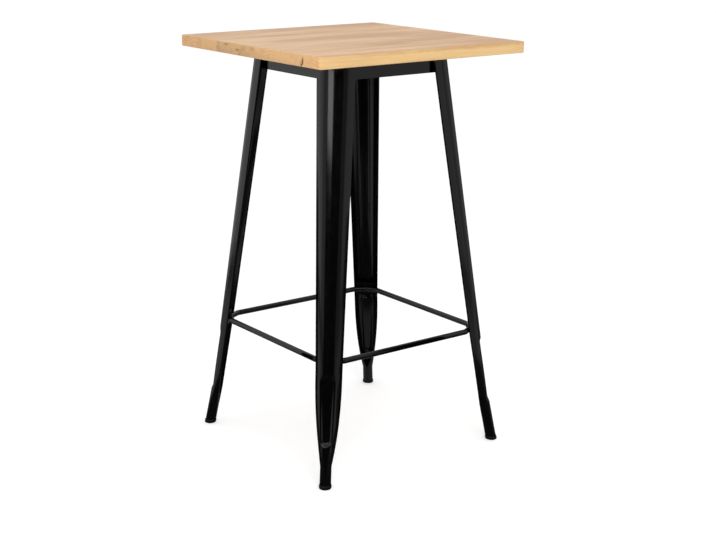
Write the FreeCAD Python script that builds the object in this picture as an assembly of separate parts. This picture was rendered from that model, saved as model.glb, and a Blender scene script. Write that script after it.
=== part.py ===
import FreeCAD, Part
import math
import os

Vec = FreeCAD.Vector

# Lengths are in millimetres and angles in degrees.
# The origin is on the floor under the middle of the table, +Z is up and the boards run along X.

# Tabletop: a panel of four edge-glued boards, the last board fills what the first three leave
table_height = 1020.0
top_side = 600.0
top_thickness = 27.0
top_edge_round = 2.5
top_corner_round = 10.0
board_widths = (80.0, 180.0, 170.0)

# Legs: pressed sheet, a rounded corner on the diagonal, straight flanges and rolled edges
leg_sheet = 1.5
leg_top_reach = 233.9
leg_splay = 8.25
leg_top_corner_radius = 51.7
leg_top_flange = 12.4
leg_knee_corner_radius = 30.7
leg_knee_flange = 13.7
leg_roll_radius = 3.2
leg_roll_turn = 80.0
knee_height = 272.0

# Below the knee the sheet closes into a tube with a narrow seam
foot_tube_radius = 13.4
foot_tube_flat = 0.6
foot_seam = 0.9
calf_splay = 9.12
foot_splay = 11.6
foot_kick_height = 100.0
ankle_height = 52.0
# How far down from the knee to the ankle each section lies, and how each size follows that share
calf_shares = (0.25, 0.45, 0.6, 0.72, 0.82, 0.91, 1.0)
calf_corner_power = 1.25
calf_width_power = 2.2
calf_turn_power = 3.0
calf_roll_power = 5.0

# Flute pressed into the corner of each leg below the knee
flute_top_gap = 4.0
flute_bottom_gap = 4.0
flute_top_half_width = 16.4
flute_bottom_half_width = 11.6
flute_depth = 6.3

# Foot caps: a plug in the tube and a rounded pad on the floor
cap_height = 9.5
cap_rim = 1.6
cap_floor_inset = 2.6
plug_length = 24.0
plug_clearance = 0.5
# Rows of the pad's rim: share of the height, share of the way from the floor radius to the full radius
cap_rim_shares = ((0.0, 0.0), (0.2, 0.7), (0.55, 1.0), (0.9, 0.85), (1.0, 0.65))

# Apron rails: a folded strip on each side, web outside and flange on top
rail_leg_gap = 5.9
rail_end_gap = 1.0
rail_height = 48.0
rail_flange = 25.0
rail_sheet = 2.0
rail_inner_bend = 1.5

# Corner brackets: a plate inside the top of each leg with a tab folded down behind each rail
bracket_sheet = 3.0
bracket_tab_height = 36.0
bracket_tab_length = 54.0
bracket_waist = 34.0
bracket_inner_bend = 1.5
weld_clearance = 0.2

# Footrest: a round rod on each side, its ends turned in to a plate across each leg
footrest_rise = 24.0
rod_diameter = 14.0
rod_turn = 28.0
rod_bend_radius = 20.0
rod_end_run = 34.3
rod_flat_depth = 1.9
rest_plate_sheet = 3.0
rest_plate_height = 36.0
rest_plate_inset = 1.3

# Bolts, washers and nuts between corner brackets and rails
bolt_diameter = 6.0
bolt_head_width = 10.0
bolt_head_height = 4.0
bolt_end_spare = 1.5
washer_diameter = 12.0
washer_thickness = 1.6
nut_width = 10.0
nut_height = 5.0
bolt_hole_clearance = 0.25
thread_clearance = 0.05

# Wood screws that hold the top down
screw_diameter = 4.5
screw_grip = 18.0
screw_tip_length = 5.0
screw_tip_diameter = 1.0
screw_head_diameter = 9.0
screw_head_height = 2.6
screw_crown_share = 0.7
screw_slot_width = 1.2
screw_slot_length = 5.0
screw_slot_depth = 1.3
screw_hole_clearance = 0.25
screw_pilot_clearance = 0.05

# How far a cutting body reaches past the faces that it cuts
overrun = 5.0

sides = ("right_front", "right_back", "left_back", "left_front")
corners = ("right", "back", "left", "front")
quarter = 90.0
half_quarter = 45.0
half_turn = 180.0
hex_sides = 6
diagonal = math.sqrt(2.0)


def between(low, high, share):
    return low + (high - low) * share


def polar(centre, radius, angle):
    turn = math.radians(angle)
    return Vec(centre.x + radius * math.cos(turn), centre.y + radius * math.sin(turn), centre.z)


def line(start, end):
    return Part.LineSegment(start, end).toShape()


def arc(start, middle, end):
    return Part.Arc(start, middle, end).toShape()


def outline_face(points):
    return Part.Face(Part.makePolygon(points + points[:1]))


def turned(shape, angle):
    copy = shape.copy()
    copy.rotate(Vec(0, 0, 0), Vec(0, 0, 1), angle)
    return copy


def drilled(shape, cutters):
    return shape.cut(Part.makeCompound(cutters))


def round_the_table(shapes):
    return [turned(shape, quarter * turn) for turn in range(len(sides)) for shape in shapes]


def save(shape, name):
    print(name, len(shape.Solids), "solids,", round(shape.Volume), "mm3, valid", shape.isValid())
    shape.exportStep("parts/" + name + ".step")


# Sizes of the leg by height. It is drawn with its diagonal along X and turned to its corner.

top_underside = table_height - top_thickness
leg_slope = math.tan(math.radians(leg_splay))
calf_slope = math.tan(math.radians(calf_splay))
foot_slope = math.tan(math.radians(foot_splay))


def straight_reach(height):
    return leg_top_reach + leg_slope * (top_underside - height)


def leg_reach(height):
    calf = max(knee_height - max(height, foot_kick_height), 0)
    kick = max(foot_kick_height - height, 0)
    return straight_reach(max(height, knee_height)) + calf_slope * calf + foot_slope * kick


def upper_section(height):
    share = (height - knee_height) / (top_underside - knee_height)
    radius = between(leg_knee_corner_radius, leg_top_corner_radius, share)
    flange = between(leg_knee_flange, leg_top_flange, share)
    return height, radius, flange, leg_roll_radius, leg_roll_turn


def section_half_width(radius, flange, roll):
    return (radius + flange) / diagonal + roll * (1.0 - 1.0 / diagonal)


def calf_section(height, share):
    seam_turn = math.degrees(math.asin(foot_seam / 2.0 / foot_tube_radius))
    closed_turn = half_turn - half_quarter - seam_turn
    radius = between(foot_tube_radius, leg_knee_corner_radius, (1.0 - share) ** calf_corner_power)
    roll = between(leg_roll_radius, foot_tube_radius, share ** calf_roll_power)
    roll_turn = between(leg_roll_turn, closed_turn, share ** calf_turn_power)
    # The flange makes up the width that the corner and the roll leave
    knee_half_width = section_half_width(leg_knee_corner_radius, leg_knee_flange, leg_roll_radius)
    tube_half_width = section_half_width(foot_tube_radius, foot_tube_flat, foot_tube_radius)
    half_width = between(knee_half_width, tube_half_width, share ** calf_width_power)
    flange = diagonal * (half_width - section_half_width(radius, 0, roll))
    return height, radius, flange, roll, roll_turn


def corner_centre(section):
    return (leg_reach(section[0]) - section[1]) / diagonal


def flange_distance(section):
    return corner_centre(section) + section[1]


def tip_depth(section, inset):
    height, radius, flange, roll, roll_turn = section
    corner_depth = radius * (1.0 - 1.0 / diagonal)
    roll_depth = (flange + roll) / diagonal
    return corner_depth + roll_depth - (roll - inset) * math.cos(math.radians(half_quarter + roll_turn))


def sheet_half(section, inset, side):
    height, radius, flange, roll, roll_turn = section
    corner = Vec(leg_reach(height) - radius, 0, height)
    start = polar(corner, radius - inset, side * half_quarter)
    end = polar(start, flange, side * (half_quarter + quarter))
    roll_centre = polar(end, inset - roll, side * half_quarter)
    middle = polar(roll_centre, roll - inset, side * (half_quarter + roll_turn / 2.0))
    tip = polar(roll_centre, roll - inset, side * (half_quarter + roll_turn))
    return start, [line(start, end), arc(end, middle, tip)], tip


def sheet_line(section, inset):
    left_start, left_edges, left_tip = sheet_half(section, inset, -1.0)
    right_start, right_edges, right_tip = sheet_half(section, inset, 1.0)
    apex = Vec(leg_reach(section[0]) - inset, 0, section[0])
    edges = left_edges[::-1] + [arc(left_start, apex, right_start)] + right_edges
    return left_tip, edges, right_tip


def sheet_wire(section):
    outer_left, outer_edges, outer_right = sheet_line(section, 0)
    inner_left, inner_edges, inner_right = sheet_line(section, leg_sheet)
    ends = [line(outer_right, inner_right), line(inner_left, outer_left)]
    return Part.Wire(Part.__sortEdges__(outer_edges + ends[:1] + inner_edges[::-1] + ends[1:]))


def filled_wire(section, inset):
    left_tip, edges, right_tip = sheet_line(section, inset)
    return Part.Wire(Part.__sortEdges__(edges + [line(right_tip, left_tip)]))


def sheet_loft(sections, ruled):
    return Part.makeLoft([sheet_wire(section) for section in sections], True, ruled)


def filled_loft(sections, inset, ruled):
    return Part.makeLoft([filled_wire(section, inset) for section in sections], True, ruled)


def flute_body(grow):
    def spot(across, height):
        return Vec(straight_reach(height) - flute_depth - grow, across, height)

    low, low_half = foot_kick_height + flute_bottom_gap - grow, flute_bottom_half_width + grow
    high, high_half = knee_height - flute_top_gap + grow, flute_top_half_width + grow
    edges = [
        arc(spot(-low_half, low + low_half), spot(0, low), spot(low_half, low + low_half)),
        line(spot(low_half, low + low_half), spot(high_half, high - high_half)),
        arc(spot(high_half, high - high_half), spot(0, high), spot(-high_half, high - high_half)),
        line(spot(-high_half, high - high_half), spot(-low_half, low + low_half)),
    ]
    return Part.Face(Part.Wire(edges)).extrude(Vec(flute_depth + grow + overrun, 0, 0))


upper_sections = [upper_section(knee_height), upper_section(top_underside)]


def leg_shape():
    tube_top = calf_section((cap_height + plug_length + ankle_height) / 2.0, 1.0)
    tube = sheet_loft([calf_section(cap_height, 1.0), tube_top], True)
    calf = [calf_section(between(knee_height, ankle_height, share), share) for share in calf_shares[::-1]]
    sections = [tube_top] + calf + [calf_section(knee_height, 0)]
    # The flute's own sheet is joined to the middle of the leg's sheet, then the flute is cut
    flute_sheet = flute_body(leg_sheet).common(filled_loft(sections, leg_sheet / 2.0, False))
    lower = sheet_loft(sections, False).fuse(flute_sheet).cut(flute_body(0))
    leg = sheet_loft(upper_sections, True).fuse([lower, tube]).removeSplitter()
    return turned(leg, -half_quarter)


def foot_cap_shape():
    def ring(height, radius):
        centre = leg_reach(height) - foot_tube_radius - foot_tube_flat / diagonal / 2.0
        return Part.Wire(Part.makeCircle(radius, Vec(centre, 0, height), Vec(0, 0, 1)))

    full_radius = foot_tube_radius + cap_rim
    floor_radius = full_radius - cap_floor_inset
    rim = [
        ring(cap_height * height_share, between(floor_radius, full_radius, width_share))
        for height_share, width_share in cap_rim_shares
    ]
    plug_radius = foot_tube_radius - leg_sheet - plug_clearance
    plug_rings = [ring(height, plug_radius) for height in (cap_height, cap_height + plug_length)]
    cap = Part.makeLoft(rim, True, False).fuse(Part.makeLoft(plug_rings, True, True))
    return turned(cap.removeSplitter(), -half_quarter)


# Rails, given for the side that faces -Y. The web runs just inside the rolled edges of the legs.

roll_inward = leg_roll_radius * (1.0 - math.cos(math.radians(leg_roll_turn)))
rail_web_distance = flange_distance(upper_section(top_underside)) - roll_inward - rail_leg_gap
rail_inside = rail_web_distance - rail_sheet
rail_half_length = rail_web_distance - rail_flange - rail_end_gap

bracket_top = top_underside - rail_sheet
bracket_bend_radius = bracket_sheet + bracket_inner_bend
bracket_tab_start = rail_half_length - bracket_tab_length
bracket_edge = rail_inside - bracket_bend_radius

bolt_height = bracket_top - (bracket_bend_radius + bracket_tab_height) / 2.0
bolt_section = upper_section(bolt_height)
bolt_across = corner_centre(bolt_section) - bolt_section[2] / 2.0

screw_line = rail_inside - (rail_flange - rail_sheet) / 2.0
corner_screw_across = (bracket_tab_start + rail_half_length) / 2.0


def screw_spots():
    return [
        Vec(across, -screw_line, top_underside)
        for across in (-corner_screw_across, 0, corner_screw_across)
    ]


def screw_holes():
    radius = screw_diameter / 2.0 + screw_hole_clearance
    depth = rail_sheet + bracket_sheet + overrun
    return [Part.makeCylinder(radius, depth, spot - Vec(0, 0, depth)) for spot in screw_spots()]


def bolt_holes():
    radius = bolt_diameter / 2.0 + bolt_hole_clearance
    start = rail_web_distance + overrun
    length = rail_sheet + bracket_sheet + 2.0 * overrun
    return [
        Part.makeCylinder(radius, length, Vec(across, -start, bolt_height), Vec(0, 1, 0))
        for across in (-bolt_across, bolt_across)
    ]


def rail_shape():
    low, high = top_underside - rail_height, top_underside
    profile = [
        (rail_web_distance, low),
        (rail_web_distance, high),
        (rail_web_distance - rail_flange, high),
        (rail_web_distance - rail_flange, bracket_top),
        (rail_inside, bracket_top),
        (rail_inside, low),
    ]
    face = outline_face([Vec(-rail_half_length, -out, height) for out, height in profile])
    rail = face.extrude(Vec(2.0 * rail_half_length, 0, 0))
    bends = ((profile[1], rail_inner_bend + rail_sheet), (profile[4], rail_inner_bend))
    for (out, height), radius in bends:
        spot = Vec(0, -out, height)
        bend = min(rail.Edges, key=lambda edge: edge.CenterOfMass.distanceToPoint(spot))
        rail = rail.makeFillet(radius, [bend])
    return drilled(rail, screw_holes() + bolt_holes())


def bracket_tab():
    bend_height = bracket_top - bracket_bend_radius
    low = bracket_top - bracket_tab_height
    inside = rail_inside - bracket_sheet

    def spot(out, height):
        return Vec(bracket_tab_start, -out, height)

    def bend_spot(radius):
        return spot(bracket_edge + radius / diagonal, bend_height + radius / diagonal)

    plate_low = bracket_top - bracket_sheet
    edges = [
        line(spot(rail_inside, low), spot(rail_inside, bend_height)),
        arc(spot(rail_inside, bend_height), bend_spot(bracket_bend_radius), spot(bracket_edge, bracket_top)),
        line(spot(bracket_edge, bracket_top), spot(bracket_edge, plate_low)),
        arc(spot(bracket_edge, plate_low), bend_spot(bracket_inner_bend), spot(inside, bend_height)),
        line(spot(inside, bend_height), spot(inside, low)),
        line(spot(inside, low), spot(rail_inside, low)),
    ]
    return Part.Face(Part.Wire(edges)).extrude(Vec(bracket_tab_length, 0, 0))


def bracket_shape():
    section = upper_section(bracket_top)
    corner = corner_centre(section)
    nose_radius = section[1] - leg_sheet - weld_clearance
    shoulder = corner + math.sqrt(nose_radius ** 2 - (bracket_edge - corner) ** 2)
    nose = corner + nose_radius / diagonal
    waist = bracket_edge - bracket_waist

    def spot(x, out):
        return Vec(x, -out, bracket_top - bracket_sheet)

    edges = [
        line(spot(bracket_tab_start, bracket_edge), spot(shoulder, bracket_edge)),
        arc(spot(shoulder, bracket_edge), spot(nose, nose), spot(bracket_edge, shoulder)),
        line(spot(bracket_edge, shoulder), spot(bracket_edge, bracket_tab_start)),
        line(spot(bracket_edge, bracket_tab_start), spot(waist, bracket_tab_start)),
        line(spot(waist, bracket_tab_start), spot(bracket_tab_start, waist)),
        line(spot(bracket_tab_start, waist), spot(bracket_tab_start, bracket_edge)),
    ]
    plate = Part.Face(Part.Wire(edges)).extrude(Vec(0, 0, bracket_sheet))
    front_tab = bracket_tab()
    side_tab = turned(front_tab.mirror(Vec(0, 0, 0), Vec(1, 0, 0)), quarter)
    bracket = plate.fuse([front_tab, side_tab]).removeSplitter()
    holes = screw_holes() + bolt_holes()
    return drilled(bracket, holes + [turned(hole, quarter) for hole in holes])


# Footrest. The plate stands across the leg just inside the tips of its rolled edges.

footrest_height = knee_height + footrest_rise
footrest_section = upper_section(footrest_height)
rest_plate_gap = leg_sheet + weld_clearance
rest_plate_depth = tip_depth(footrest_section, rest_plate_gap) - rest_plate_inset
rod_radius = rod_diameter / 2.0
rod_lean = math.radians(half_quarter - rod_turn)
rest_plate_reach = straight_reach(footrest_height) - rest_plate_depth
rod_meet = rest_plate_reach - rod_radius / math.cos(rod_lean) + rod_flat_depth
rod_bend_start = rod_meet / diagonal - rod_end_run
rod_distance = rod_meet / diagonal + rod_end_run * math.tan(math.radians(rod_turn))


def leaning_slab(deep, shallow, height):
    low, high = footrest_height - height / 2.0, footrest_height + height / 2.0
    half_width = footrest_section[1] + overrun
    face = outline_face([
        Vec(straight_reach(low) - deep, -half_width, low),
        Vec(straight_reach(low) - shallow, -half_width, low),
        Vec(straight_reach(high) - shallow, -half_width, high),
        Vec(straight_reach(high) - deep, -half_width, high),
    ])
    return turned(face.extrude(Vec(0, 2.0 * half_width, 0)), -half_quarter)


def rest_plate_shape():
    slab = leaning_slab(rest_plate_depth, rest_plate_depth - rest_plate_sheet, rest_plate_height)
    return slab.common(turned(filled_loft(upper_sections, rest_plate_gap, True), -half_quarter))


def rod_shape():
    turn = math.radians(rod_turn)
    tangent = rod_bend_radius * math.tan(turn / 2.0)

    def spot(side, along, inward):
        return Vec(side * along, inward - rod_distance, footrest_height)

    def end_spots(side):
        bend_along = rod_bend_start - tangent + rod_bend_radius * math.sin(turn / 2.0)
        bend_inward = rod_bend_radius * (1.0 - math.cos(turn / 2.0))
        return (
            spot(side, rod_bend_start - tangent, 0),
            spot(side, bend_along, bend_inward),
            spot(side, rod_bend_start + tangent * math.cos(turn), tangent * math.sin(turn)),
            spot(side, rod_distance, (rod_distance - rod_bend_start) * math.tan(turn)),
        )

    left, right = end_spots(-1.0), end_spots(1.0)
    path = Part.Wire([
        line(left[3], left[2]),
        arc(left[2], left[1], left[0]),
        line(left[0], right[0]),
        arc(right[0], right[1], right[2]),
        line(right[2], right[3]),
    ])
    ring = Part.Wire(Part.makeCircle(rod_radius, left[3], left[2] - left[3]))
    rod = path.makePipeShell([ring], True, False)
    # Each end is cut on the diagonal, where it meets the next rod, and flat against the plate
    low, far = footrest_height - rod_diameter, 2.0 * rod_distance
    wedge = outline_face([Vec(0, 0, low), Vec(-far, -far, low), Vec(far, -far, low)])
    rod = rod.common(wedge.extrude(Vec(0, 0, 2.0 * rod_diameter)))
    beyond = leaning_slab(rest_plate_depth, -overrun, 2.0 * rod_diameter)
    return drilled(rod, [beyond, turned(beyond, -quarter)])


# Fasteners

def hex_prism(start, width, length, direction):
    corner_radius = width / 2.0 / math.cos(math.radians(half_turn / hex_sides))
    angles = [2.0 * half_turn * i / hex_sides for i in range(hex_sides)]
    prism = outline_face([polar(Vec(0, 0, 0), corner_radius, angle) for angle in angles])
    prism = prism.extrude(Vec(0, 0, length))
    prism.Placement = FreeCAD.Placement(start, FreeCAD.Rotation(Vec(0, 0, 1), direction))
    return prism


def bolt_set(across):
    inward, outward = Vec(0, 1, 0), Vec(0, -1, 0)
    tab_face = Vec(across, bracket_sheet - rail_inside, bolt_height)
    web_face = Vec(across, -rail_web_distance, bolt_height)
    head_face = tab_face + inward * washer_thickness
    length = washer_thickness + bracket_sheet + rail_sheet + nut_height + bolt_end_spare
    shank = Part.makeCylinder(bolt_diameter / 2.0, length, head_face, outward)
    bolt = shank.fuse(hex_prism(head_face, bolt_head_width, bolt_head_height, inward))
    hole_radius = bolt_diameter / 2.0 + thread_clearance
    washer = Part.makeCylinder(washer_diameter / 2.0, washer_thickness, tab_face, inward)
    washer = washer.cut(Part.makeCylinder(hole_radius, washer_thickness, tab_face, inward))
    nut = hex_prism(web_face, nut_width, nut_height, outward)
    nut = nut.cut(Part.makeCylinder(hole_radius, nut_height, web_face, outward))
    return bolt, washer, nut


def screw_shape(spot, packing):
    seat = spot - Vec(0, 0, packing)
    radius = screw_diameter / 2.0
    straight = packing + screw_grip - screw_tip_length
    shank = Part.makeCylinder(radius, straight, seat)
    tip = Part.makeCone(radius, screw_tip_diameter / 2.0, screw_tip_length, seat + Vec(0, 0, straight))
    face = seat - Vec(0, 0, screw_head_height)
    head = Part.makeCylinder(screw_head_diameter / 2.0, screw_head_height, face)
    crown = min(head.Edges, key=lambda edge: edge.CenterOfMass.z)
    head = head.makeFillet(screw_head_height * screw_crown_share, [crown])
    for long, wide in ((screw_slot_length, screw_slot_width), (screw_slot_width, screw_slot_length)):
        low = face - Vec(long / 2.0, wide / 2.0, overrun)
        head = head.cut(Part.makeBox(long, wide, screw_slot_depth + overrun, low))
    return shank.fuse([tip, head]).removeSplitter()


# Tabletop

def board_shapes():
    half = top_side / 2.0
    panel = Part.makeBox(top_side, top_side, top_thickness, Vec(-half, -half, top_underside))
    upright = [edge for edge in panel.Edges if edge.BoundBox.ZLength > top_edge_round]
    panel = panel.makeFillet(top_corner_round, upright)
    level = [edge for edge in panel.Edges if edge.BoundBox.ZLength < top_edge_round]
    panel = panel.makeFillet(top_edge_round, level)
    radius = screw_diameter / 2.0 + screw_pilot_clearance
    depth = screw_grip + screw_pilot_clearance
    pilots = [Part.makeCylinder(radius, depth, spot) for spot in screw_spots()]
    panel = drilled(panel, round_the_table(pilots))
    boards, near = [], -half
    for width in board_widths + (top_side - sum(board_widths),):
        strip = Part.makeBox(top_side, width, top_thickness, Vec(-half, near, top_underside))
        boards.append(panel.common(strip))
        near += width
    return boards


def main():
    os.makedirs("parts", exist_ok=True)
    for number, board in enumerate(board_shapes(), 1):
        save(board, "top_board_" + str(number))
    corner_pieces = {
        "leg_": leg_shape(),
        "foot_cap_": foot_cap_shape(),
        "corner_bracket_": bracket_shape(),
        "footrest_plate_": rest_plate_shape(),
    }
    side_pieces = {"apron_rail_": rail_shape(), "footrest_rod_": rod_shape()}
    for turn, (corner, side) in enumerate(zip(corners, sides)):
        for name, shape in corner_pieces.items():
            save(turned(shape, quarter * turn), name + corner)
        for name, shape in side_pieces.items():
            save(turned(shape, quarter * turn), name + side)
    bolt_sets = [bolt_set(across) for across in (-bolt_across, bolt_across)]
    for name, pair in zip(("rail_bolts", "rail_washers", "rail_nuts"), zip(*bolt_sets)):
        save(Part.makeCompound(round_the_table(pair)), name)
    left, middle, right = screw_spots()
    packing = rail_sheet + bracket_sheet
    screws = [screw_shape(left, packing), screw_shape(middle, rail_sheet), screw_shape(right, packing)]
    save(Part.makeCompound(round_the_table(screws)), "top_screws")


main()
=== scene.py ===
import bmesh
import bpy
import math
from mathutils import Matrix, Vector


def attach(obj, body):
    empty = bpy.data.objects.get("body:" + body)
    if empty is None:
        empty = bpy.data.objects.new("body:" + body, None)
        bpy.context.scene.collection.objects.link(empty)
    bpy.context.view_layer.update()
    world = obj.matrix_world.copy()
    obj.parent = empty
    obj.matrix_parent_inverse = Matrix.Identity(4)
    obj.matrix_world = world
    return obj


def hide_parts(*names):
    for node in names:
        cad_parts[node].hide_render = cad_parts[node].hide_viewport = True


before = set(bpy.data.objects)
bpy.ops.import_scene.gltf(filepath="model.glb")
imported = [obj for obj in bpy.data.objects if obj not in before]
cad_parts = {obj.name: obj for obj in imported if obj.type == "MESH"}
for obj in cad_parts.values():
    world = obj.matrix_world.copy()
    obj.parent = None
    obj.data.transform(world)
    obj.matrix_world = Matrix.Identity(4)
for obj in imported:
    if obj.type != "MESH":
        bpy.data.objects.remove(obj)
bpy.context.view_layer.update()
print("frame loaded,", len(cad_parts), "nodes")

mm = 0.001  # shapes are drawn in millimetres
mergeGap = 0.002 * mm  # points closer than this are one
weldGap = 0.01 * mm  # the same in node trees and cuts
diagonal = math.sqrt(2)
cornerTurns = {"right": -45, "back": 45, "left": 135, "front": 225}
sideTurns = {"right_front": 0, "right_back": 90, "left_back": 180, "left_front": 270}


def between(low, high, share):
    return low + (high - low) * share


def softStep(low, high, value):
    share = min(max((value - low) / (high - low), 0), 1)
    return share * share * (3 - 2 * share)


def pieceName(kind, place):
    return kind + "".join(word.capitalize() for word in place.split("_"))


def turned(points, degrees):
    turn = Matrix.Rotation(math.radians(degrees), 3, "Z")
    return [turn @ Vector(point) for point in points]


def addObject(name, data):
    item = bpy.data.objects.new(name, data)
    bpy.context.scene.collection.objects.link(item)
    return item


def plainMesh(name, points, edges=(), faces=()):
    mesh = bpy.data.meshes.new(name)
    mesh.from_pydata(points, edges, faces)
    return mesh


def emptyTree(owner):
    owner.use_nodes = True
    owner.node_tree.nodes.clear()
    return owner.node_tree


def addNode(tree, kind, sockets=None, **settings):
    node = tree.nodes.new(kind)
    for key, value in settings.items():
        setattr(node, key, value)
    for key, value in (sockets or {}).items():
        if isinstance(value, bpy.types.NodeSocket):
            tree.links.new(value, node.inputs[key])
        else:
            node.inputs[key].default_value = value
    return node


def maths(tree, operation, first, second=0.0):
    return addNode(tree, "ShaderNodeMath", {0: first, 1: second}, operation=operation).outputs[0]


def times(tree, first, second):
    return maths(tree, "MULTIPLY", first, second)


def vectorMaths(tree, operation, first, second=(0, 0, 0)):
    return addNode(tree, "ShaderNodeVectorMath", {0: first, 1: second}, operation=operation).outputs


def screenColour(red, green, blue):  # 0 to 255 as seen on screen, made linear
    shares = [value / 255 for value in (red, green, blue)]
    return [s / 12.92 if s < 0.04045 else ((s + 0.055) / 1.055) ** 2.4 for s in shares] + [1.0]


def newFinish(name):
    material = bpy.data.materials.new(name)
    tree = emptyTree(material)
    return material, tree, addNode(tree, "ShaderNodeTexCoord").outputs["Object"]


def endFinish(tree, colour, rough, relief, sheen, metallic=0.0):
    shader = addNode(tree, "ShaderNodeBsdfPrincipled", {
        "Base Color": colour, "Roughness": rough, "Normal": relief,
        "Specular IOR Level": sheen, "Metallic": metallic})
    addNode(tree, "ShaderNodeOutputMaterial", {"Surface": shader.outputs[0]})


# A noise is its cells per metre on each axis, its seed, its detail and its roughness.
seedShift = (3.71, 1.93, 2.57)


def grain(tree, place, noise, moreSeed=0):
    cells, seed, detail, rough = noise
    shift = [(seed + moreSeed) * step for step in seedShift]
    mapped = addNode(tree, "ShaderNodeMapping", {"Vector": place, "Location": shift, "Scale": cells})
    return addNode(tree, "ShaderNodeTexNoise", {
        "Vector": mapped.outputs[0], "Scale": 1.0, "Detail": detail, "Roughness": rough}).outputs[0]


def ramp(tree, value, stops):
    node = addNode(tree, "ShaderNodeValToRGB", {"Fac": value})
    marks = node.color_ramp.elements
    while len(marks) < len(stops):
        marks.new(1.0)
    for mark, (spot, colour) in zip(marks, stops):
        mark.position = spot
        mark.color = colour if hasattr(colour, "__len__") else (colour, colour, colour, 1.0)
    return node.outputs["Color"]


def blend(tree, share, first, second, way="MIX"):
    sockets = {0: share, 6: first, 7: second}
    return addNode(tree, "ShaderNodeMix", sockets, data_type="RGBA", blend_type=way).outputs[2]


def spanned(tree, value, low, high, least=0.0, most=1.0):
    node = addNode(tree, "ShaderNodeMapRange", {
        "Value": value, "From Min": low, "From Max": high, "To Min": least, "To Max": most})
    return node.outputs[0]


def bumped(tree, height, strength, distance, under=None):
    sockets = {"Height": height, "Strength": strength, "Distance": distance}
    if under is not None:
        sockets["Normal"] = under
    return addNode(tree, "ShaderNodeBump", sockets).outputs[0]


# Pale solid wood with a satin finish. Rings are drawn round a pith line that lies along X.
wood = {
    "streak": screenColour(192, 146, 104),
    "heart": screenColour(211, 170, 126),
    "sap": screenColour(223, 187, 143),
    "ringLine": screenColour(188, 140, 96),
    "endGrain": screenColour(224, 178, 122),
    "endRing": screenColour(186, 134, 82),
    "pore": screenColour(150, 104, 62),
    "edgeBase": screenColour(209, 169, 125),
    "edgeCalm": 0.5,
    # painted light: the long sides are drawn lighter and yellower than the top, as if lit more strongly
    "paintedSideLight": (1.07, 1.14, 0.98, 1.0),
    "ringShare": 0.22,
    "endRingShare": 0.36,
    "poreShare": 0.3,
    "endStart": 0.2974,
    "endFull": 0.2996,
    "cornerStart": 0.5884,
    "cornerFull": 0.5896,
    "cornerBlend": 0.004,
    "satinRoughness": (0.4, 0.56),
    "sheen": 0.45,
    "reliefStrength": 0.22,
    "reliefDepth": 0.0003,
    "slowNoise": ((1.4, 8, 8), 0, 2, 0.5),
    "bandNoise": ((1.8, 10, 26), 1, 2, 0.5),
    "streakNoise": ((5, 75, 75), 4, 4, 0.6),
    "fibreNoise": ((7, 420, 420), 2, 3, 0.65),
    "poreNoise": ((36, 1500, 1500), 3, 1, 0.5),
    "blotchNoise": ((40, 55, 70), 5, 4, 0.5),
    "dotNoise": ((500, 900, 900), 6, 1, 0.5),
    "bandShare": 0.55,
    "streakShare": 0.45,
    "dotShare": 0.25,
    "bandStops": (0.4, 0.5, 0.6),
    "ringStops": ((0.0, 0.0), (0.5, 0.22), (0.86, 1.0), (1.0, 0.0)),
    "pithStretch": 0.03,
    "fibreSpan": (0.3, 0.7),
    "fibreTone": (0.93, 1.05),
    "poreSpan": (0.6, 0.74),
    "dotSpan": (0.58, 0.7),
    "blotchSpan": (0.5, 0.75),
    "spotSpan": (1.0, 0.25),
}


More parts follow.
